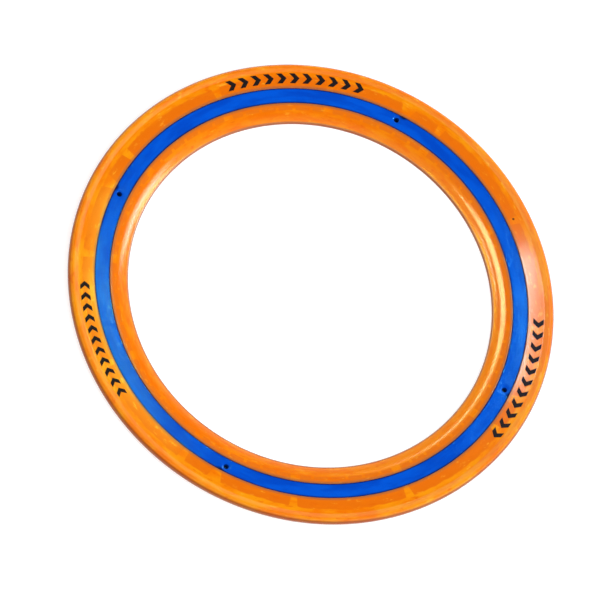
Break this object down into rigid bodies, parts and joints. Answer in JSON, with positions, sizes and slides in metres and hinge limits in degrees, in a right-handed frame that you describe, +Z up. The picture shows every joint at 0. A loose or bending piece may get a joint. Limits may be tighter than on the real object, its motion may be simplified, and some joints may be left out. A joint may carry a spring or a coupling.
{
  "type": "flying ring",
  "caption": "Flat throwing ring with a hard plastic core band between two soft rubber rims, a raised lip along its outer edge and rows of printed chevrons.",
  "frame": {"origin": "centre of the ring, on the surface it lies on", "axes": "+Z up out of the printed side, where the lip is raised; +X through the first pin hole"},
  "size_m": [0.25, 0.25, 0.006],
  "materials": {
    "core_plastic": "glossy moulded blue with a fine grain",
    "soft_rubber": "smooth, slightly translucent orange",
    "print_ink": "thin black pad-printed ink"
  },
  "bodies": {
    "root": {"core_ring": "core_plastic", "outer_rim": "soft_rubber", "inner_rim": "soft_rubber", "chevron_print_1": "print_ink", "chevron_print_2": "print_ink", "chevron_print_3": "print_ink"}
  },
  "joints": []
}
